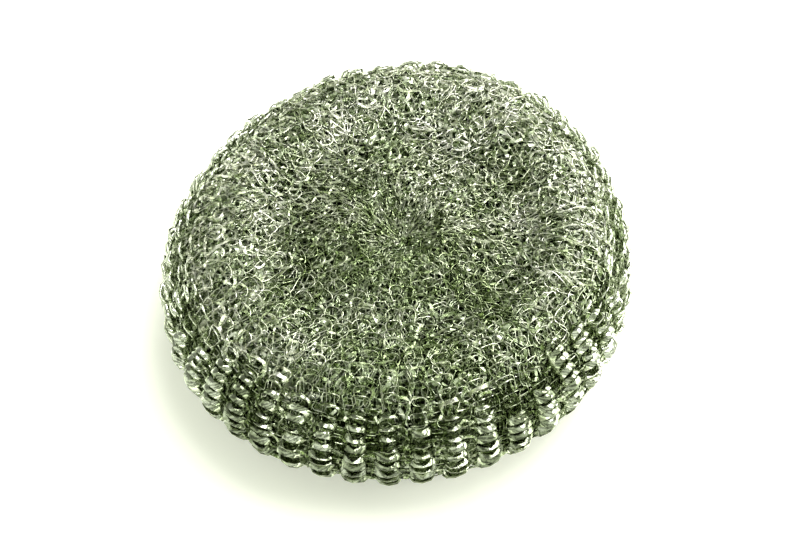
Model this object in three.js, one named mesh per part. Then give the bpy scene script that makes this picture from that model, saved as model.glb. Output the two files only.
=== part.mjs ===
// Metal scourer: a tube of knitted flat wire, rolled on itself and gathered at the middle into a round pad.
// One solid of the pad's outer form: the dimpled knot, the roll, the rim's columns of loops and the pleats.
// Millimetres, +Z up. The origin is the middle of the ring that the pad rests on.
import * as THREE from "three";
import { ParametricGeometry } from "three/addons/geometries/ParametricGeometry.js";
import { mergeVertices } from "three/addons/utils/BufferGeometryUtils.js";

// Overall sizes
const LENGTH = 88; // across the rim along X, over the loops
const WIDTH = 82; // across the rim along Y: a hand-gathered pad is a little oval
const HEIGHT = 24; // from the resting ring to the top of the roll
const RIM_HEIGHT = 11; // of the widest circle above the resting ring

// Upper face: the outer roll, the moat inside it, and the gathered knot with its dimple.
// A drop is measured down from the roll's top.
const ROLL_WIDTH = 13.5; // from the widest circle in to the roll's top
const MOAT_WIDTH = 9; // from the roll's top in to the moat's lowest circle
const MOAT_DROP = 2.4;
const KNOT_DIAMETER = 17;
const KNOT_DROP = 1.4;
const DIMPLE_DROP = 5.2;

// Underside: a flat resting ring round a gathered hollow
const FOOT_SETBACK = 13; // from the widest circle in to the resting ring
const FOOT_WIDTH = 8;
const HOLLOW_HEIGHT = 4; // of the hollow's middle above the resting ring

// Knit. A wale is a column of loops that runs over the rim. A row is one bar of each column,
// and each row here stands for two of the wire's own rows.
const WALES = 46;
const CHANNEL_WIDTH = 1.8; // between two columns, at the rim
const CHANNEL_DEPTH = 1.6;
const GROOVE_DEPTH = 0.9; // between two rows of a column
const RIM_ROWS = 14; // from the roll's top round the rim to the resting ring
const ROLL_ROWS = 3; // from the moat up to the roll's top
const KNOT_ROWS = 2; // from the dimple's edge out to the moat
const PLEATS = Math.round(WALES / 2); // the wales draw together in pairs at the gathered middle
const PLEAT_DEPTH = 1.2;

const COLUMNS_PER_WALE = 3; // one point in the channel and one at each end of the bar

const radius = (LENGTH + WIDTH) / 4; // of a round pad with the same rim, before it is drawn out to an oval
const rollRadius = radius - ROLL_WIDTH;
const moatRadius = rollRadius - MOAT_WIDTH;
const knotRadius = KNOT_DIAMETER / 2;
const footOuterRadius = radius - FOOT_SETBACK;
const footInnerRadius = footOuterRadius - FOOT_WIDTH;

// A stretch of the half section between two rings, level at both.
function swell(r0, z0, r1, z1) {
  const third = (r1 - r0) / 3;
  return new THREE.CubicBezierCurve(
    new THREE.Vector2(r0, z0),
    new THREE.Vector2(r0 + third, z0),
    new THREE.Vector2(r1 - third, z1),
    new THREE.Vector2(r1, z1),
  );
}

// A quarter of the rim's section, from a level ring at its top or bottom to the widest circle or back.
function rimQuarter(ringRadius, ringHeight, fromAngle, toAngle) {
  const rise = Math.abs(ringHeight - RIM_HEIGHT);
  const clockwise = true;
  return new THREE.EllipseCurve(
    ringRadius, RIM_HEIGHT, radius - ringRadius, rise, fromAngle, toAngle, clockwise,
  );
}

// One ring of points round the pad: where its half section passes, and how the knit shapes it.
class Ring {
  constructor(curve, share, { knit = 0, pleat = 0, groove = 0 } = {}) {
    const place = curve.getPoint(share);
    const along = curve.getTangent(share);
    this.r = place.x;
    this.z = place.y;
    this.outR = -along.y;
    this.outZ = along.x;
    Object.assign(this, { knit, pleat, groove });
  }
}

// Rows of bars along a stretch: each row has the bar's crest and the groove after it.
function rowsAlong(curve, rows, shape) {
  const rings = [];
  for (let row = 0; row < rows; row++) {
    rings.push(new Ring(curve, row / rows, { ...shape, groove: 0 }));
    rings.push(new Ring(curve, (row + 0.5) / rows, { ...shape, groove: GROOVE_DEPTH }));
  }
  return rings;
}

// The half section from the middle of the upper face, over the rim, to the middle of the underside.
function halfSection() {
  const knotTop = HEIGHT - KNOT_DROP;
  const dimple = swell(0, HEIGHT - DIMPLE_DROP, knotRadius, knotTop);
  const knot = swell(knotRadius, knotTop, moatRadius, HEIGHT - MOAT_DROP);
  const roll = swell(moatRadius, HEIGHT - MOAT_DROP, rollRadius, HEIGHT);
  const rimTop = rimQuarter(rollRadius, HEIGHT, Math.PI / 2, 0);
  const rimUnder = rimQuarter(footOuterRadius, 0, 0, -Math.PI / 2);
  const hollow = swell(footInnerRadius, 0, 0, HOLLOW_HEIGHT);
  const topRows = Math.round((RIM_ROWS * rimTop.getLength()) / (rimTop.getLength() + rimUnder.getLength()));
  return [
    new Ring(dimple, 0),
    new Ring(dimple, 0.35, { pleat: 0.4 }),
    new Ring(dimple, 0.7, { pleat: 0.8 }),
    ...rowsAlong(knot, KNOT_ROWS, { knit: 0.5, pleat: 0.8 }),
    ...rowsAlong(roll, ROLL_ROWS, { knit: 0.8, pleat: 0.2 }),
    ...rowsAlong(rimTop, topRows, { knit: 1 }),
    ...rowsAlong(rimUnder, RIM_ROWS - topRows, { knit: 1 }),
    new Ring(rimUnder, 1),
    new Ring(hollow, 0),
    new Ring(hollow, 0.5, { pleat: 1 }),
    new Ring(hollow, 1),
  ];
}

const rings = halfSection();
const columns = WALES * COLUMNS_PER_WALE;
const walePitch = (2 * Math.PI) / WALES;
const channelShare = CHANNEL_WIDTH / (radius * walePitch);

// The angle of a column of points: the channel lies at the start of each wale, the bar in its middle.
function columnAngle(column) {
  const wale = Math.floor(column / COLUMNS_PER_WALE);
  const part = column % COLUMNS_PER_WALE;
  const share = [0, channelShare / 2, 1 - channelShare / 2][part];
  return (wale - 0.5 + share) * walePitch;
}

// How far a point lies below the ring's full outline.
function inset(ring, column, angle) {
  const inChannel = column % COLUMNS_PER_WALE === 0;
  const channel = inChannel ? CHANNEL_DEPTH : ring.groove;
  const fold = (PLEAT_DEPTH * (1 - Math.cos(PLEATS * angle))) / 2;
  return ring.knit * channel + ring.pleat * fold;
}

// A point of the pad's skin: u runs round the pad, and v from the underside up, so the faces look outwards.
function skinPoint(u, v, target) {
  const column = Math.round(u * columns) % columns;
  const ring = rings[Math.round((1 - v) * (rings.length - 1))];
  const angle = columnAngle(column);
  const depth = inset(ring, column, angle);
  const r = ring.r - ring.outR * depth;
  const z = Math.max(0, ring.z - ring.outZ * depth);
  const x = (r * Math.cos(angle) * LENGTH) / 2 / radius;
  const y = (r * Math.sin(angle) * WIDTH) / 2 / radius;
  target.set(x, y, z);
}

// The skin as one closed body: the seam and the two middles share their points, and every face has an area.
function closedSkin() {
  const sheet = new ParametricGeometry(skinPoint, columns, rings.length - 1);
  sheet.deleteAttribute("normal");
  sheet.deleteAttribute("uv");
  const skin = mergeVertices(sheet);
  const index = skin.index.array;
  const kept = [];
  for (let i = 0; i < index.length; i += 3) {
    const [a, b, c] = [index[i], index[i + 1], index[i + 2]];
    const hasArea = a !== b && b !== c && c !== a;
    if (hasArea) {
      kept.push(a, b, c);
    }
  }
  skin.setIndex(kept);
  skin.computeVertexNormals();
  return skin;
}

const galvanisedWire = new THREE.MeshStandardMaterial({
  name: "galvanised_flat_wire",
  color: 0x7d866a,
  roughness: 0.3,
  metalness: 1,
});

const scourer = new THREE.Group();
scourer.name = "metal_scourer";

const knittedPad = new THREE.Mesh(closedSkin(), galvanisedWire);
knittedPad.name = "knitted_pad";
scourer.add(knittedPad);

export default scourer;
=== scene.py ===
import math

import bpy
import numpy as np
from mathutils import Matrix, Vector


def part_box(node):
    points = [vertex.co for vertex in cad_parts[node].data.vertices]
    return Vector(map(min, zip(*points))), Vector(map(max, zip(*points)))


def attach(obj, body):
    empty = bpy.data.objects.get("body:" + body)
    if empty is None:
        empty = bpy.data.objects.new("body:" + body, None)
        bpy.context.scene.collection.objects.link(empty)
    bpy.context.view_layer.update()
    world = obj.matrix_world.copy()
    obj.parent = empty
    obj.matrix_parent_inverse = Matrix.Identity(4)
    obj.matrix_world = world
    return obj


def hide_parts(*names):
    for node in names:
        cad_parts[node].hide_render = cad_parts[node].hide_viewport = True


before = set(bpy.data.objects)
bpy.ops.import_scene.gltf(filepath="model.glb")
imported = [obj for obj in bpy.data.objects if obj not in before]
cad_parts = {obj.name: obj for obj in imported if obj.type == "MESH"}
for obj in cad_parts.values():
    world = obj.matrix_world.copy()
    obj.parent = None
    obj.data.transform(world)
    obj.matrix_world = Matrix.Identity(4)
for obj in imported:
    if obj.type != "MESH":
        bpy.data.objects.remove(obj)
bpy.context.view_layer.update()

MM = 0.001
PAD = "knitted_pad"

# The pad's overall sizes come from the frame, and the rest of its outline repeats the solid's own sizes.
pad_low, pad_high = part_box(PAD)
LENGTH = pad_high.x - pad_low.x
WIDTH = pad_high.y - pad_low.y
HEIGHT = pad_high.z - pad_low.z
RIM_HEIGHT = 11 * MM
ROLL_WIDTH = 13.5 * MM
MOAT_WIDTH = 9 * MM
MOAT_DROP = 2.4 * MM
KNOT_RADIUS = 8.5 * MM
KNOT_DROP = 1.4 * MM
DIMPLE_DROP = 5.2 * MM
FOOT_SETBACK = 13 * MM
FOOT_WIDTH = 8 * MM
HOLLOW_HEIGHT = 4 * MM

# The pad is laid out round and then drawn out to its oval.
# Gathered by hand, it is also a little three-sided.
RADIUS = (LENGTH + WIDTH) / 4
OVAL = np.array((LENGTH / 2 / RADIUS, WIDTH / 2 / RADIUS, 1))
UNEVEN = 0.011  # of the radius
CORNERS = 3
CORNER_ANGLE = math.radians(20)  # of one of the corners
SWELL_POINTS = 40  # of the outline between two of its level circles
QUARTER_POINTS = 60  # of a quarter of the rim's section

# The knit: columns of loops (wales) run over the rim, and each ring of loops round the pad is a course.
WALES = 46
FACE_RADIUS = 31 * MM  # inside this circle the knit lies loose on the upper face and the underside
RIM_RADIUS = 40 * MM  # outside this circle it is stretched round the rim, in even columns
SPLIT_RADIUS = 37 * MM  # between the pieces of the faces and the pieces of the rim
FIRST_COURSE = 1.6 * MM  # from the middle of either face, along the outline
MIDDLE_GAP = 0.5 * MM  # that the wire keeps from the middle of either face, along the outline

# Loops. A pair gives first the value for the faces and then the one for the rim.
PITCH = (1.8 * MM, 1.9 * MM)  # between courses
FACE_HEAD = 3.2 * MM  # across a loop's round head on the faces
RIM_HEAD = (0.54, 0.72)  # across a head on the rim, in wales: on the upper rim, and at the widest circle
RIM_HEAD_REACH = 7 * MM  # above the widest circle, over which the heads widen
HEAD_EDGE = 1 / 8  # of a wale, from a head's middle to its side before the wire swings out
LOOP_REACH = (2.8, 1.7)  # a loop's length, in course pitches, so that it hooks the next courses
INNER_REACH = (2.8, 2.1)  # the same for the inner turns
HEAD_BULGE = (0.6 * MM, 2.0 * MM)  # how far a head stands out, on the faces up to twice as far at the front
INNER_BULGE = 0.6 * MM  # the same for the inner turns
HEAD_ROUNDING = 1.4  # power of the dip from a round head
BAR_ROUNDING = 3  # power of the dip from a flat bar, which falls off only at its ends
BAR_SQUARENESS = 1.7  # power that draws a round loop out to a bar with straight ends
LOOSE_RADIUS = 20 * MM  # inside this circle the gather draws the loops narrower and shorter
SMALLEST_LOOP = 0.3  # at the middle, of a whole loop's width and length
GATHER_RADIUS = 13 * MM  # inside this circle each turn is drawn to a middle of its own
GATHER_SHIFT = 1.3 * MM  # of a turn's own middle
GATHER_HOLE = 2 * MM  # inside this circle the wire swings no further round the middle

# Turns of the rolled tube
TURN_SPACING = (0.6 * MM, 0.9 * MM)
LEAST_SPACING = 0.4 * MM
TURN_OFFSET = 0.37  # from one turn to the next, in wales and in courses
PACKED_DEPTH = (2.6 * MM, 2.4 * MM)  # of the turns that are packed too close to see between
PACKED_RADIUS = 15 * MM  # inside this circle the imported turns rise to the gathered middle
PACKED_FIXED = 0.2  # of their depth, that stays as it is towards the middle
CRUMPLE = 0.4 * MM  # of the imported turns
LEAST_CRUMPLE = 0.1  # at the middle, of the whole crumple
CRUMPLE_SEED = 9
PACKED_STEPS = 6  # to a wale
PACKED_RINGS = 160
POLE_SIZE = 1e-4  # of a unit ball, within which a point is its pole

# Unevenness of the knit, as spreads of values that change along the wire
KNOTS = 2 * WALES  # places round a course, between which a value runs smoothly
LOOSENESS = (0.42, 0.19)  # the share of the unevenness that is left where the knit lies evenly
HEAD_SPREAD = 0.15  # of a head's width
SIDE_SPREAD = 0.25 * MM  # of the wire's place round the pad
LENGTH_SPREAD = 0.2  # of a loop's length
COURSE_SPREAD = 0.3  # of a loop's place across the course, in pitches
COURSE_WAVE = 0.45  # of all courses together, in pitches
DEPTH_SPREAD = 0.3 * MM
LEAN_SPREAD = (0.36, 0.2)  # of the wire's lean, in radians
FLUTTER = 0.95  # of the wire's lean from step to step, in radians
CRINKLE = 0.16 * MM  # of the wire's place from step to step
# Slow unevenness, as waves over the whole pad
SIDE_DRIFT = 0.5 * MM
COURSE_DRIFT = 1.0 * MM
DEPTH_DRIFT = 0.3 * MM
DRIFT_WAVES = 18
DRIFT_ROUND = 16  # most waves round the pad
DRIFT_LENGTH = 6 * MM  # of the shortest wave along the outline
DRIFT_SEEDS = 100  # apart, from one turn to the next

# The pad has a front, where the rim's columns lie evenly. The knit is loose on the rest of the rim.
FRONT_ANGLE = math.radians(-144)
EVEN_REACH = (math.radians(48), math.radians(85))  # to each side of the front: all even, and least even
LEAST_EVEN = 0.35

# The wire is rolled flat. Its real thickness, about 0.06 mm, is too fine to show, so it is drawn thicker.
WIRE_WIDTH = (0.62 * MM, 0.45 * MM)  # of the inner turns, on the faces and on the rim
LOOP_WIDTH = 0.36 * MM  # of the outer loops on the faces, which show only their edge
BAR_WIDTH = 1.2 * MM  # of the outer loops on the rim, which lie level and show their flat side
BAR_START = 33.5 * MM  # radius from which the wire turns from its edge to its flat side
BAR_START_DRIFT = 2 * MM
BAR_START_REACH = 6 * MM  # over which it turns
BAR_TILT = math.radians(2)  # of the level bars, outwards and down
BAR_BELLY = 0.14 * MM  # how far each side of a bar swells at its middle
WIRE_THICKNESS = 0.1 * MM
WIRE_SIDES = 4
MERGE_DISTANCE = 0.002 * MM
SMOOTH_ANGLE = math.radians(70)


def hand_shaped(points):
    """Points of the round pad, drawn out to its real outline."""
    angle = np.arctan2(points[..., 1], points[..., 0])
    spread = 1 + UNEVEN * np.cos(CORNERS * (angle - CORNER_ANGLE))
    return points * OVAL * np.stack((spread, spread, np.ones_like(spread)), axis=-1)


def ease(share):
    """Runs from 0 to 1 with a level start and end."""
    share = np.clip(share, 0, 1)
    return share * share * (3 - 2 * share)


def swell(r0, z0, r1, z1):
    """A stretch of the outline between two circles, level at both."""
    share = np.linspace(0, 1, SWELL_POINTS)
    return np.column_stack((r0 + (r1 - r0) * share, z0 + (z1 - z0) * ease(share)))


def rim_quarter(ring_radius, rise, start, end):
    """A quarter of the rim's round section, between a level circle and the widest one."""
    angle = np.radians(np.linspace(start, end, QUARTER_POINTS))
    reach = RADIUS - ring_radius
    return np.column_stack((ring_radius + reach * np.cos(angle), RIM_HEIGHT + rise * np.sin(angle)))


class Outline:
    """The pad's half section, from the middle of the upper face over the rim to the middle underneath."""

    def __init__(self):
        roll = RADIUS - ROLL_WIDTH
        moat = roll - MOAT_WIDTH
        foot = RADIUS - FOOT_SETBACK
        knot_top = HEIGHT - KNOT_DROP
        moat_floor = HEIGHT - MOAT_DROP
        points = np.vstack((
            swell(0, HEIGHT - DIMPLE_DROP, KNOT_RADIUS, knot_top),
            swell(KNOT_RADIUS, knot_top, moat, moat_floor)[1:],
            swell(moat, moat_floor, roll, HEIGHT)[1:],
            rim_quarter(roll, HEIGHT - RIM_HEIGHT, 90, 0)[1:],
            rim_quarter(foot, RIM_HEIGHT, 0, -90)[1:],
            swell(foot, 0, foot - FOOT_WIDTH, 0)[1:],
            swell(foot - FOOT_WIDTH, 0, 0, HOLLOW_HEIGHT)[1:],
        ))
        step = np.linalg.norm(np.diff(points, axis=0), axis=1)
        self.along = np.concatenate(([0], np.cumsum(step)))
        self.r, self.z = points.T
        self.out_r = -np.gradient(self.z, self.along)
        self.out_z = np.gradient(self.r, self.along)
        self.length = self.along[-1]
        self.widest = self.along[np.argmax(self.r)]

    def at(self, place):
        """Radius, height and outward direction at these distances along the outline."""
        return [np.interp(place, self.along, line) for line in (self.r, self.z, self.out_r, self.out_z)]


outline = Outline()


def by_zone(sizes, place):
    """A size of the knit at these places, between its value on the faces and its value on the rim."""
    rim = ease((outline.at(place)[0] - FACE_RADIUS) / (RIM_RADIUS - FACE_RADIUS))
    return sizes[0] + (sizes[1] - sizes[0]) * rim


def evenness(angle):
    """How evenly the rim's columns lie at these angles round the pad."""
    off = np.abs((angle - FRONT_ANGLE + math.pi) % (2 * math.pi) - math.pi)
    loose = ease((off - EVEN_REACH[0]) / (EVEN_REACH[1] - EVEN_REACH[0]))
    return 1 - (1 - LEAST_EVEN) * loose


def course_places():
    """Distances along the outline at which the courses lie."""
    places = []
    place = FIRST_COURSE
    while place < outline.length - FIRST_COURSE:
        places.append(place)
        place += by_zone(PITCH, place)
    return np.array(places)


class Wander:
    """Seeded unevenness of the knit, along the wire of each course."""

    def __init__(self, seed, courses, round_share):
        self.random = np.random.default_rng(seed)
        self.courses = courses
        knot = KNOTS * round_share
        whole = np.floor(knot).astype(int)
        self.before = whole % KNOTS
        self.after = (whole + 1) % KNOTS
        self.share = ease(knot - whole)

    def smooth(self, spread, courses=None):
        """Values that change from loop to loop and run smoothly along the wire."""
        knots = self.random.normal(0, spread, (courses or self.courses, KNOTS))
        return knots[:, self.before] * (1 - self.share) + knots[:, self.after] * self.share

    def jitter(self, spread):
        """Values that change from step to step."""
        return self.random.normal(0, spread, (self.courses, len(self.share)))


class Drift:
    """Slow unevenness of one turn: seeded waves over the whole pad, of spread 1."""

    def __init__(self, seed):
        random = np.random.default_rng(seed)
        self.round = random.integers(-DRIFT_ROUND, DRIFT_ROUND + 1, DRIFT_WAVES)
        self.along = random.uniform(-1, 1, DRIFT_WAVES) * 2 * math.pi / DRIFT_LENGTH
        self.phase = random.uniform(0, 2 * math.pi, DRIFT_WAVES)

    def __call__(self, place, angle):
        waves = zip(self.round, self.along, self.phase)
        total = sum(np.sin(k * angle + m * place + p) for k, m, p in waves)
        return total / math.sqrt(DRIFT_WAVES / 2)


class Turn:
    """A stretch of one turn of the knitted tube. Turns are counted from the outside, from 0.

    Its random values are drawn in the order in which lay() asks for them.
    """

    def __init__(self, courses, number, seed, steps):
        wale = np.arange(WALES * steps) / steps
        offset = number * TURN_OFFSET % 1
        self.number = number
        self.outer = number == 0
        self.wander = Wander(seed, len(courses), wale / WALES)
        self.drifts = [Drift(DRIFT_SEEDS * seed + i) for i in range(3)]
        self.phase = 2 * math.pi * wale
        self.back = (1 + np.cos(self.phase)) / 2
        self.angle = 2 * math.pi * (wale + offset) / WALES
        self.even = evenness(self.angle)
        course = courses[:, None]
        self.pitch = by_zone(PITCH, course)
        self.course = course if self.outer else course + (offset - 0.5) * self.pitch
        self.loose = 1 - self.even * (1 - by_zone(LOOSENESS, self.course)) if self.outer else 1
        self.radius = outline.at(self.course)[0]

    def drift(self, which):
        """One of the turn's three slow waves: to the side, along the outline or in depth."""
        return self.drifts[which](self.course, self.angle)

    def sideways(self):
        """How far the wire swings along the course, which gives the loops their heads."""
        gather = np.clip(self.radius / LOOSE_RADIUS, SMALLEST_LOOP, 1)
        wale_width = 2 * math.pi * self.radius / WALES
        widening = ease((self.course - outline.widest) / RIM_HEAD_REACH + 1)
        rim_share = RIM_HEAD[0] + (RIM_HEAD[1] - RIM_HEAD[0]) * widening
        rim_head = rim_share * wale_width if self.outer else FACE_HEAD
        sway = by_zone((FACE_HEAD * gather, rim_head), self.course) / 2 - wale_width * HEAD_EDGE
        swing = sway * np.sin(2 * self.phase) * (1 + self.wander.smooth(HEAD_SPREAD) * self.loose)
        stray = self.wander.smooth(SIDE_SPREAD) + SIDE_DRIFT * self.drift(0)
        return swing + stray * gather * self.loose

    def reach(self):
        """How far each loop reaches to either side of its course."""
        reach = by_zone(LOOP_REACH if self.outer else INNER_REACH, self.course) / 2 * self.pitch
        reach = reach * (1 + self.wander.smooth(LENGTH_SPREAD) * self.loose)
        whole = np.clip(self.radius / LOOSE_RADIUS, 0, 1)
        return reach * (SMALLEST_LOOP + (1 - SMALLEST_LOOP) * whole)

    def lengthways(self, reach, crinkle):
        """Where the wire lies along the outline: each loop reaches over the courses next to its own."""
        lobe = np.cos(self.phase)
        if self.outer:
            square = np.sign(lobe) * (1 - (1 - np.abs(lobe)) ** BAR_SQUARENESS)
            lobe = by_zone((lobe, lobe + (square - lobe) * self.even), self.course)
        place = self.course + reach * lobe
        place = place + self.wander.smooth(COURSE_SPREAD) * self.pitch * self.loose
        place = place + self.wander.jitter(1) * crinkle
        place = place + self.wander.smooth(COURSE_WAVE, courses=1) * self.pitch
        return place + COURSE_DRIFT * self.drift(1) * self.loose

    def depth(self):
        """How deep the wire lies below the outline: each loop dips from its head under the next course."""
        round_head = self.back ** HEAD_ROUNDING
        bulge = INNER_BULGE * round_head
        if self.outer:
            bar_head = 1 - (1 - self.back) ** BAR_ROUNDING
            at_front = (self.even - LEAST_EVEN) / (1 - LEAST_EVEN)
            bulge = by_zone((HEAD_BULGE[0] * (1 + at_front), HEAD_BULGE[1]), self.course)
            bulge = bulge * by_zone((round_head, bar_head), self.course)
        sink = self.number * by_zone(TURN_SPACING, self.course) + bulge
        sink = sink + np.abs(self.wander.smooth(DEPTH_SPREAD)) * self.loose
        sink = sink + DEPTH_DRIFT * self.drift(2) * self.loose
        return np.maximum(sink, self.number * LEAST_SPACING)

    def lean(self, r, slope):
        """How far the wire leans from standing on edge. At the front of the rim it lies level, as bars."""
        flutter = self.wander.jitter(FLUTTER) * self.loose
        unsteady = self.wander.smooth(1) * by_zone(LEAN_SPREAD, self.course) + flutter
        if not self.outer:
            return unsteady
        start = BAR_START + BAR_START_DRIFT * self.drift(2)
        level = slope * ease((r - start) / BAR_START_REACH) * (1 - self.back) ** 2 * self.even
        return level + BAR_TILT * (level > 0) + unsteady

    def width(self, place):
        """How wide the wire is: narrow where its edge shows, and broad where it shows as bars."""
        if not self.outer:
            return by_zone(WIRE_WIDTH, place)
        return LOOP_WIDTH + (BAR_WIDTH - LOOP_WIDTH) * by_zone((0, 1), place) * self.even

    def lay(self):
        """The line of the wire's outer edge, the outward direction along it, its lean and its width."""
        side = self.sideways()
        reach = self.reach()
        crinkle = CRINKLE * np.clip(self.wander.smooth(1), 0, None) * self.loose
        place = self.lengthways(reach, crinkle)
        side = side + self.wander.jitter(1) * crinkle
        sink = self.depth()
        r, z, out_r, out_z = outline.at(np.clip(place, MIDDLE_GAP, outline.length - MIDDLE_GAP))
        angle = self.angle + side / np.maximum(self.radius, GATHER_HOLE)
        across = np.stack((np.cos(angle), np.sin(angle), np.zeros_like(angle)), axis=-1)
        up = np.array((0, 0, 1.0))
        outward = across * out_r[..., None] + up * out_z[..., None]
        own_middle = np.append(self.wander.random.normal(0, GATHER_SHIFT, 2), 0)
        drawn = own_middle * (1 - ease(r / GATHER_RADIUS))[..., None]
        line = across * r[..., None] + up * z[..., None] - outward * sink[..., None] + drawn
        lean = self.lean(r, np.arctan2(out_z, out_r))
        return hand_shaped(line), outward, lean, self.width(place)


def unit(vectors):
    """The same directions with length 1."""
    return vectors / np.linalg.norm(vectors, axis=-1, keepdims=True)


def flat_wire(line, outward, lean, width, belly):
    """Points across the flat wire along its outer edge, which stands on edge where it doesn't lean.

    They are given by side, and on each side from the inner edge to the outer one, with the belly between.
    """
    along = unit(np.roll(line, -1, axis=1) - np.roll(line, 1, axis=1))
    edge = unit(outward - along * np.sum(outward * along, axis=-1, keepdims=True))
    flat = np.cross(along, edge)
    lean = lean[..., None]
    tall = edge * np.cos(lean) + flat * np.sin(lean)
    thick = np.cross(tall, along)
    levels = ((1, 0), (0.5, belly), (0, 0)) if belly else ((1, 0), (0, 0))
    width = np.broadcast_to(width, lean.shape[:2])[..., None]
    half = WIRE_THICKNESS / 2
    points = np.array([
        [line - tall * width * deep + thick * side * (half + swollen) for deep, swollen in levels]
        for side in (-1, 1)
    ])
    points[..., 2] = np.maximum(points[..., 2], 0)
    return points


# The straight wire is built from a block of size 1, which is then made slimmer so that courses stay apart.
SLIM = 0.5
ALIGNED = 0.9  # of the block's size, past which an edge or a normal runs along an axis
ARRAY_MERGE = 0.001


def select_along(mesh, axis):
    """Selects the block's edges that run along one axis."""
    bpy.ops.mesh.select_mode(type="EDGE")
    bpy.ops.mesh.select_all(action="DESELECT")
    bpy.ops.object.mode_set(mode="OBJECT")
    for edge in mesh.edges:
        start, end = [mesh.vertices[i].co for i in edge.vertices]
        edge.select = abs(start[axis] - end[axis]) > ALIGNED
    bpy.ops.object.mode_set(mode="EDIT")


def straight_wire(name, courses, steps, belly):
    """Flat wire before it is bent: one loop's length, repeated for every wale and course.

    X counts wales and Z counts courses. The wire's thickness lies along Y and its width along Z.
    """
    bpy.ops.object.select_all(action="DESELECT")
    bpy.ops.mesh.primitive_cube_add(size=1, location=(0.5, 0, 0))
    bpy.ops.object.transform_apply(location=True)
    wire = bpy.context.object
    wire.name = wire.data.name = name
    bpy.ops.object.mode_set(mode="EDIT")
    bpy.ops.mesh.select_mode(type="FACE")
    bpy.ops.mesh.select_all(action="DESELECT")
    bpy.ops.object.mode_set(mode="OBJECT")
    for face in wire.data.polygons:
        face.select = abs(face.normal.x) > ALIGNED
    bpy.ops.object.mode_set(mode="EDIT")
    bpy.ops.mesh.delete(type="ONLY_FACE")
    select_along(wire.data, axis=0)
    bpy.ops.mesh.subdivide(number_cuts=steps - 1)
    if belly:
        select_along(wire.data, axis=2)
        bpy.ops.mesh.subdivide(number_cuts=1)
    bpy.ops.mesh.select_all(action="SELECT")
    bpy.ops.transform.resize(value=(1, SLIM, SLIM), center_override=(0, 0, 0))
    bpy.ops.object.mode_set(mode="OBJECT")
    for label, count, offset in (("wales", WALES, (1, 0, 0)), ("courses", courses, (0, 0, 1))):
        copies = wire.modifiers.new(label, "ARRAY")
        copies.count = count
        copies.use_relative_offset = False
        copies.use_constant_offset = True
        copies.constant_offset_displace = offset
        copies.use_merge_vertices = label == "wales"
        copies.merge_threshold = ARRAY_MERGE
        bpy.ops.object.modifier_apply(modifier=label)
    return wire


def vectors_of(items, name):
    """One vector of each of many mesh elements, as an array."""
    values = np.empty(len(items) * 3, np.float32)
    items.foreach_get(name, values)
    return values.reshape(-1, 3)


STRIP_MARGIN = 0.1  # at each long side of a strip of the map
FACE_CORNERS = 4  # every face of the straight wire is an oblong


def bake_map(wire, courses):
    """A flat map of the wire: each of its four sides is a strip of its own, once round the pad."""
    mesh = wire.data
    corner_vertex = np.empty(len(mesh.loops), np.int32)
    mesh.loops.foreach_get("vertex_index", corner_vertex)
    corner = vectors_of(mesh.vertices, "co")[corner_vertex]
    normal = np.repeat(vectors_of(mesh.polygons, "normal"), FACE_CORNERS, axis=0)
    on_edge = np.abs(normal[:, 2]) > np.abs(normal[:, 1])
    course = np.round(corner[:, 2])
    across = np.where(on_edge, corner[:, 1], corner[:, 2] - course) / SLIM + 0.5
    side = np.where(on_edge, 2 + (normal[:, 2] > 0), normal[:, 1] > 0)
    inset = STRIP_MARGIN + (1 - 2 * STRIP_MARGIN) * across
    strip = (course * WIRE_SIDES + side + inset) / (WIRE_SIDES * courses)
    flat = np.column_stack((corner[:, 0] / WALES, strip))
    layer = mesh.uv_layers[0]
    layer.name = "OFBake"
    layer.uv.foreach_set("vector", flat.astype(np.float32).ravel())


def finish_piece(piece, material):
    """Gives a piece its finish and its place in the frame."""
    piece.data.materials.clear()
    piece.data.materials.append(material)
    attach(piece, "root")
    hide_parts(PAD)


def knit_piece(name, courses, material, number, seed, steps, belly):
    """A stretch of one turn of the knitted tube, laid on the pad's form."""
    wire = straight_wire(name, len(courses), steps, belly)
    bake_map(wire, len(courses))
    points = flat_wire(*Turn(courses, number, seed, steps).lay(), belly)
    place = vectors_of(wire.data.vertices, "co")
    course = np.round(place[:, 2]).astype(int)
    step = np.round(place[:, 0] * steps).astype(int) % (WALES * steps)
    side = (place[:, 1] > 0).astype(int)
    share = (place[:, 2] - course) / SLIM + 0.5
    level = np.round(share * (points.shape[1] - 1)).astype(int)
    wire.data.vertices.foreach_set("co", points[side, level, course, step].astype(np.float32).ravel())
    wire.data.update()
    bpy.ops.object.mode_set(mode="EDIT")
    bpy.ops.mesh.select_all(action="SELECT")
    bpy.ops.mesh.remove_doubles(threshold=MERGE_DISTANCE)
    bpy.ops.object.mode_set(mode="OBJECT")
    bpy.ops.object.shade_smooth_by_angle(angle=SMOOTH_ANGLE)
    finish_piece(wire, material)


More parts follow.
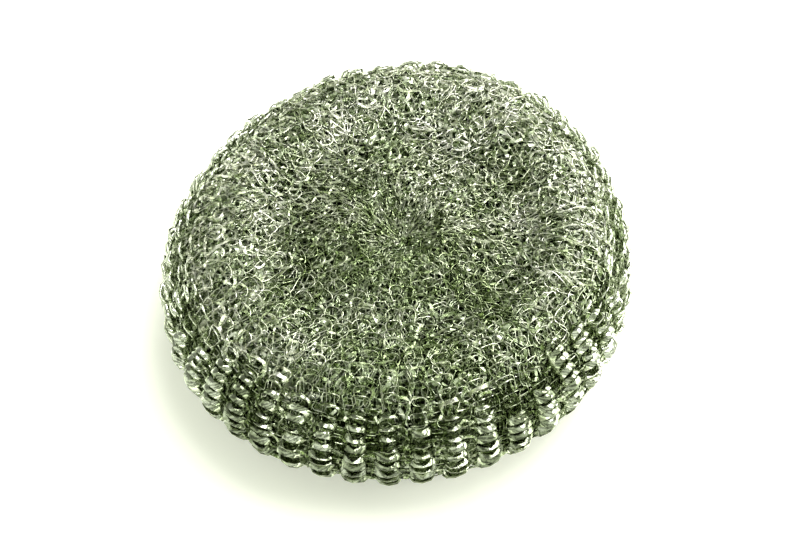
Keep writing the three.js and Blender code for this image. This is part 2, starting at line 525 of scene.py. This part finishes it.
def packed_turns(material):
    """The inner turns, which are packed too close to see between: one crumpled body under the knit."""
    segments = WALES * PACKED_STEPS
    bpy.ops.object.select_all(action="DESELECT")
    bpy.ops.mesh.primitive_uv_sphere_add(segments=segments, ring_count=PACKED_RINGS, radius=RADIUS)
    body = bpy.context.object
    body.name = body.data.name = "packed_turns"
    points = vectors_of(body.data.vertices, "co") / RADIUS
    place = np.arccos(np.clip(points[:, 2], -1, 1)) / math.pi * outline.length
    angle = np.arctan2(points[:, 1], points[:, 0])
    r, z, out_r, out_z = outline.at(place)
    gather = np.clip(r / PACKED_RADIUS, LEAST_CRUMPLE, 1)
    random = np.random.default_rng(CRUMPLE_SEED)
    crumple = np.abs(random.normal(0, CRUMPLE, len(points))) * gather
    sink = by_zone(PACKED_DEPTH, place) * (PACKED_FIXED + (1 - PACKED_FIXED) * gather) + crumple
    off_pole = np.abs(points[:, :2]).max(axis=1) > POLE_SIZE
    reach = np.maximum(r - out_r * sink, 0) * off_pole
    points = np.column_stack((reach * np.cos(angle), reach * np.sin(angle), z - out_z * sink))
    body.data.vertices.foreach_set("co", hand_shaped(points).astype(np.float32).ravel())
    body.data.update()
    bpy.ops.object.shade_flat()
    finish_piece(body, material)


def linear(hex_colour):
    """An sRGB hex colour as the linear values that Blender's colour sockets take."""
    values = [int(hex_colour[i:i + 2], 16) / 255 for i in (1, 3, 5)]
    return [v / 12.92 if v <= 0.04045 else ((v + 0.055) / 1.055) ** 2.4 for v in values] + [1.0]


def add_node(tree, kind, settings=None, links=None):
    """Adds a node, sets its properties or sockets, and links its inputs, by name or by number."""
    node = tree.nodes.new(kind)
    for name, value in (settings or {}).items():
        if isinstance(name, int) or name in node.inputs:
            node.inputs[name].default_value = value
        else:
            setattr(node, name, value)
    for name, source in (links or {}).items():
        tree.links.new(source, node.inputs[name])
    return node


CAST_SIZE = 9 * MM  # of the patches of deeper olive
CAST_SHARE = 0.4  # of the tone that these patches make, while the spangle makes the rest
TONE_STOPS = (0.35, 0.5, 0.65)  # of the two together, for the dark, middle and bright tone
DULL_RANGE = (0.35, 0.7)  # of the spangle, from the smoothest zinc to the dullest
DENT_SIZE = 0.38 * MM  # of the dents from knitting and crimping, drawn as coarse as they need to show


def galvanised_wire(name, tones, roughness, crimp, grain, painted_light):
    """Rolled flat steel wire with a thin zinc coat.

    The zinc is bright and mirror-like where the rolls pressed it, and dull grey in spots where it has
    weathered. Its olive cast deepens in patches. Round one place on the pad its tone is shifted darker
    and lighter with the distance: painted shade and painted light.
    """
    material = bpy.data.materials.new(name)
    material.use_nodes = True
    tree = material.node_tree
    shader = tree.nodes["Principled BSDF"]
    shader.inputs["Metallic"].default_value = 1
    place = add_node(tree, "ShaderNodeTexCoord").outputs["Object"]
    spangle = add_node(tree, "ShaderNodeTexNoise", {"Scale": 1 / grain, "Detail": 3}, {"Vector": place})
    cast = add_node(tree, "ShaderNodeTexNoise", {"Scale": 1 / CAST_SIZE, "Detail": 2}, {"Vector": place})
    parts = {"A": spangle.outputs["Fac"], "B": cast.outputs["Fac"]}
    tone = add_node(tree, "ShaderNodeMix", {"Factor": CAST_SHARE}, parts)
    # Painted shade and painted light: the tone is shifted by the distance from one place on the pad
    painted_light_place, painted_light_reach, painted_light_shift = painted_light
    away = add_node(tree, "ShaderNodeVectorMath", {"operation": "DISTANCE", 1: painted_light_place}, {0: place})
    fade = {
        "From Min": painted_light_reach[0],
        "From Max": painted_light_reach[1],
        "To Min": painted_light_shift[0],
        "To Max": painted_light_shift[1],
    }
    painted_light_map = add_node(tree, "ShaderNodeMapRange", fade, {"Value": away.outputs["Value"]})
    both = {0: tone.outputs["Result"], 1: painted_light_map.outputs["Result"]}
    lit_tone = add_node(tree, "ShaderNodeMath", {"operation": "ADD"}, both)
    ramp = add_node(tree, "ShaderNodeValToRGB", links={"Fac": lit_tone.outputs["Value"]})
    stops = ramp.color_ramp.elements
    stops[0].position = TONE_STOPS[0]
    stops[0].color = linear(tones[0])
    stops[1].position = TONE_STOPS[2]
    stops[1].color = linear(tones[2])
    middle = stops.new(TONE_STOPS[1])
    middle.color = linear(tones[1])
    tree.links.new(ramp.outputs["Color"], shader.inputs["Base Color"])
    weathering = {
        "From Min": DULL_RANGE[0],
        "From Max": DULL_RANGE[1],
        "To Min": roughness[0],
        "To Max": roughness[1],
    }
    dull = add_node(tree, "ShaderNodeMapRange", weathering, {"Value": spangle.outputs["Fac"]})
    tree.links.new(dull.outputs["Result"], shader.inputs["Roughness"])
    dents = add_node(tree, "ShaderNodeTexNoise", {"Scale": 1 / DENT_SIZE, "Detail": 1}, {"Vector": place})
    relief = {"Strength": 1, "Distance": crimp}
    bump = add_node(tree, "ShaderNodeBump", relief, {"Height": dents.outputs["Fac"]})
    tree.links.new(bump.outputs["Normal"], shader.inputs["Normal"])
    return material


# Painted shade and painted light: the place, the distances over which they fade, and the shift of tone at
# the place and away from it
front = Vector((math.cos(FRONT_ANGLE), math.sin(FRONT_ANGLE), 0))
# On the faces: painted shade darkens the gathered middle, and painted light lifts the tone further out
face_painted_shading = (front * 9 * MM + Vector((0, 0, HEIGHT)), (4 * MM, 40 * MM), (-0.12, 0.06))
# On the rim: painted light makes the bars lighter away from the front
rim_painted_light = (front * RADIUS + Vector((0, 0, RIM_HEIGHT)), (30 * MM, 55 * MM), (0, 0.3))

# Bars: the broad side of rolled wire, smooth enough for hard bright and dark reflections. Their tones are
# darker than the loops' zinc: painted shade for the dark surroundings that they reflect
shaded_bar_finish = galvanised_wire(
    "galvanised_rolled_wire_painted_shade",
    ("#687058", "#929a80", "#d6dcc8"),
    roughness=(0.09, 0.22),
    crimp=0.03 * MM,
    grain=1.6 * MM,
    painted_light=rim_painted_light,
)
# Loops: fine bright wire, a little matt, that catches the light in short pale arcs
loop_finish = galvanised_wire(
    "galvanised_loop_wire",
    ("#8d9a71", "#c6cbb3", "#eaeadf"),
    roughness=(0.2, 0.38),
    crimp=0.06 * MM,
    grain=1.6 * MM,
    painted_light=face_painted_shading,
)
# Inner turns: crimped wire, whose dents break the light into specks
wire_finish = galvanised_wire(
    "galvanised_crimped_wire",
    ("#8a9a6d", "#c5d0b1", "#e6e9da"),
    roughness=(0.2, 0.38),
    crimp=0.08 * MM,
    grain=1.6 * MM,
    painted_light=face_painted_shading,
)
# Packed turns: painted shade, a dark olive tone of the same zinc that stands for the light lost between
# the wires, with a few bright specks
shaded_packed_finish = galvanised_wire(
    "galvanised_packed_wire_painted_shade",
    ("#46542a", "#66754a", "#c0c8ac"),
    roughness=(0.2, 0.4),
    crimp=0.2 * MM,
    grain=0.5 * MM,
    painted_light=face_painted_shading,
)

courses = course_places()
radii = outline.at(courses)[0]
over = courses < outline.widest
zones = {
    "face": courses[over & (radii < SPLIT_RADIUS)],
    "rim": courses[radii >= SPLIT_RADIUS],
    "underside": courses[~over & (radii < SPLIT_RADIUS)],
}
# How finely each turn's loops are drawn: steps to a loop, from the outer turn in
loop_steps = {"face": (24, 24, 20), "rim": (14, 18, 18), "underside": (10, 7)}
# The finish of the outer turn and the one of the inner turns. The rim's inner turns take the packed wire's
# painted shade.
finishes = {
    "face": (loop_finish, wire_finish),
    "rim": (shaded_bar_finish, shaded_packed_finish),
    "underside": (loop_finish, wire_finish),
}
turn_names = ("outer_turn", "second_turn", "third_turn")


def turn_courses(zone, number):
    """A turn's courses. On the faces each turn leaves out one course more at the gathered middle."""
    if zone == "face":
        return zones[zone][number:]
    if zone == "underside":
        return zones[zone][:len(zones[zone]) - number]
    return zones[zone]


seed = 1
for zone, turn_steps in loop_steps.items():
    for number, steps in enumerate(turn_steps):
        name = turn_names[number] + "_" + zone
        finish = finishes[zone][min(number, 1)]
        belly = BAR_BELLY if zone == "rim" and number == 0 else 0
        knit_piece(name, turn_courses(zone, number), finish, number, seed, steps, belly)
        seed += 1
packed_turns(shaded_packed_finish)


# Floor: white paper, matt and a little warm. It looks white and keeps the pad's shadow.
FLOOR_SIZE = 6
PAPER_ROUGHNESS = 0.8
PAPER_GLOW = 0.2  # as the camera and the bright wire see it
bpy.ops.object.select_all(action="DESELECT")
bpy.ops.mesh.primitive_plane_add(size=FLOOR_SIZE, location=(0, 0, 0))
floor = bpy.context.object
floor.name = "floor"
paper = bpy.data.materials.new("white_paper")
paper.use_nodes = True
paper_tree = paper.node_tree
paper_shader = paper_tree.nodes["Principled BSDF"]
paper_shader.inputs["Base Color"].default_value = linear("#f8f8ec")
paper_shader.inputs["Roughness"].default_value = PAPER_ROUGHNESS
paper_shader.inputs["Emission Color"].default_value = linear("#ffffff")
ray = add_node(paper_tree, "ShaderNodeLightPath").outputs
seen_rays = {0: ray["Is Camera Ray"], 1: ray["Is Glossy Ray"]}
seen = add_node(paper_tree, "ShaderNodeMath", {"operation": "MAXIMUM"}, seen_rays)
glow = add_node(paper_tree, "ShaderNodeMapRange", {"To Max": PAPER_GLOW}, {"Value": seen.outputs["Value"]})
paper_tree.links.new(glow.outputs["Result"], paper_shader.inputs["Emission Strength"])
floor.data.materials.append(paper)


# Lamps stand round the pad as seen from its front.
# Their places and the room's directions are given to the right, to the back and up.
front_turn = Matrix.Rotation(FRONT_ANGLE + math.radians(90), 3, "Z")
LAMP_TARGET = (0, 0, 10 * MM)
LAMP_COLOUR = "#fffdff"
LAMPS = {  # place and size in metres, and power in watts
    "key_softbox": ((0.3, 0.26, 1.06), (0.72, 0.4), 6.7),
    "right_softbox": ((1.1, 0.12, 0.5), (0.6, 0.5), 5.6),
    "back_softbox": ((0.45, 0.95, 0.62), (0.8, 0.5), 5.6),
}


def softbox(name, place, size, power):
    """An oblong lamp that looks at the pad."""
    lamp = bpy.data.lights.new(name, "AREA")
    lamp.shape = "RECTANGLE"
    lamp.size, lamp.size_y = size
    lamp.energy = power
    lamp.color = linear(LAMP_COLOUR)[:3]
    holder = bpy.data.objects.new(name, lamp)
    bpy.context.collection.objects.link(holder)
    holder.location = front_turn @ Vector(place)
    holder.rotation_euler = (Vector(LAMP_TARGET) - holder.location).to_track_quat("-Z", "Y").to_euler()


for lamp_name, (place, size, power) in LAMPS.items():
    softbox(lamp_name, place, size, power)

# Room: a band of light low round the pad, dimmest to the left and back, under a ceiling of light strips
ROOM_COLOUR = "#f9fff0"
BAND_TOP = 0.38  # height at which the band has faded, as the sine of its angle
DIM_SIDE = (-0.85, 0.53, 0)
STRIP_SCALE = 0.8
low_band = {"From Min": 0, "From Max": BAND_TOP, "To Min": 1, "To Max": 0}
band_light = {"From Min": -0.2, "From Max": 0.8, "To Min": 3.6, "To Max": 1.8}
strip_light = {"From Min": 0.35, "From Max": 0.65, "To Min": 0.32, "To Max": 1.32}
for blend in (low_band, band_light, strip_light):
    blend["interpolation_type"] = "SMOOTHSTEP"
room = bpy.data.worlds.new("studio")
room.use_nodes = True
room_tree = room.node_tree
background = room_tree.nodes["Background"]
background.inputs["Color"].default_value = linear(ROOM_COLOUR)
direction = add_node(room_tree, "ShaderNodeTexCoord").outputs["Generated"]
height = add_node(room_tree, "ShaderNodeSeparateXYZ", links={"Vector": direction}).outputs["Z"]
band = add_node(room_tree, "ShaderNodeMapRange", low_band, {"Value": height})
to_dim_side = {"operation": "DOT_PRODUCT", 1: front_turn @ Vector(DIM_SIDE)}
dimming = add_node(room_tree, "ShaderNodeVectorMath", to_dim_side, {0: direction})
backdrop = add_node(room_tree, "ShaderNodeMapRange", band_light, {"Value": dimming.outputs["Value"]})
diagonal = {"Scale": STRIP_SCALE, "bands_direction": "DIAGONAL"}
strips = add_node(room_tree, "ShaderNodeTexWave", diagonal, {"Vector": direction})
ceiling = add_node(room_tree, "ShaderNodeMapRange", strip_light, {"Value": strips.outputs["Fac"]})
lights = {0: band.outputs["Result"], 1: backdrop.outputs["Result"], 2: ceiling.outputs["Result"]}
brightness = add_node(room_tree, "ShaderNodeMath", {"operation": "MULTIPLY_ADD"}, lights)
room_tree.links.new(brightness.outputs["Value"], background.inputs["Strength"])
bpy.context.scene.world = room


# The camera stands in front of the pad and above it, as in the photo.
PHOTO_SIZE = (800, 533)
PAD_RADIUS_PIXELS = 226.6
BASE_PIXEL = (399.8, 291.0)  # where the middle of the pad's underside shows
CAMERA_DISTANCE = 5 * RADIUS
CAMERA_ELEVATION = math.radians(58.1)
SENSOR_WIDTH = 36
NEAREST = 10 * MM  # to the camera, that still shows
GLOSSY_BOUNCES = 10  # between the wires
lens_pixels = PAD_RADIUS_PIXELS / RADIUS * CAMERA_DISTANCE
camera_data = bpy.data.cameras.new("camera")
camera_data.sensor_width = SENSOR_WIDTH
camera_data.lens = lens_pixels / PHOTO_SIZE[0] * SENSOR_WIDTH
camera_data.clip_start = NEAREST
camera_data.shift_x = (PHOTO_SIZE[0] / 2 - BASE_PIXEL[0]) / PHOTO_SIZE[0]
camera_data.shift_y = (BASE_PIXEL[1] - PHOTO_SIZE[1] / 2) / PHOTO_SIZE[0]
camera = bpy.data.objects.new("camera", camera_data)
bpy.context.collection.objects.link(camera)
to_camera = front_turn @ Vector((0, -math.cos(CAMERA_ELEVATION), math.sin(CAMERA_ELEVATION)))
camera.location = to_camera * CAMERA_DISTANCE
camera.rotation_euler = to_camera.to_track_quat("Z", "Y").to_euler()
bpy.context.scene.camera = camera

bpy.context.scene.view_settings.view_transform = "Standard"
bpy.context.scene.cycles.glossy_bounces = GLOSSY_BOUNCES
bpy.context.scene.cycles.denoising_prefilter = "NONE"
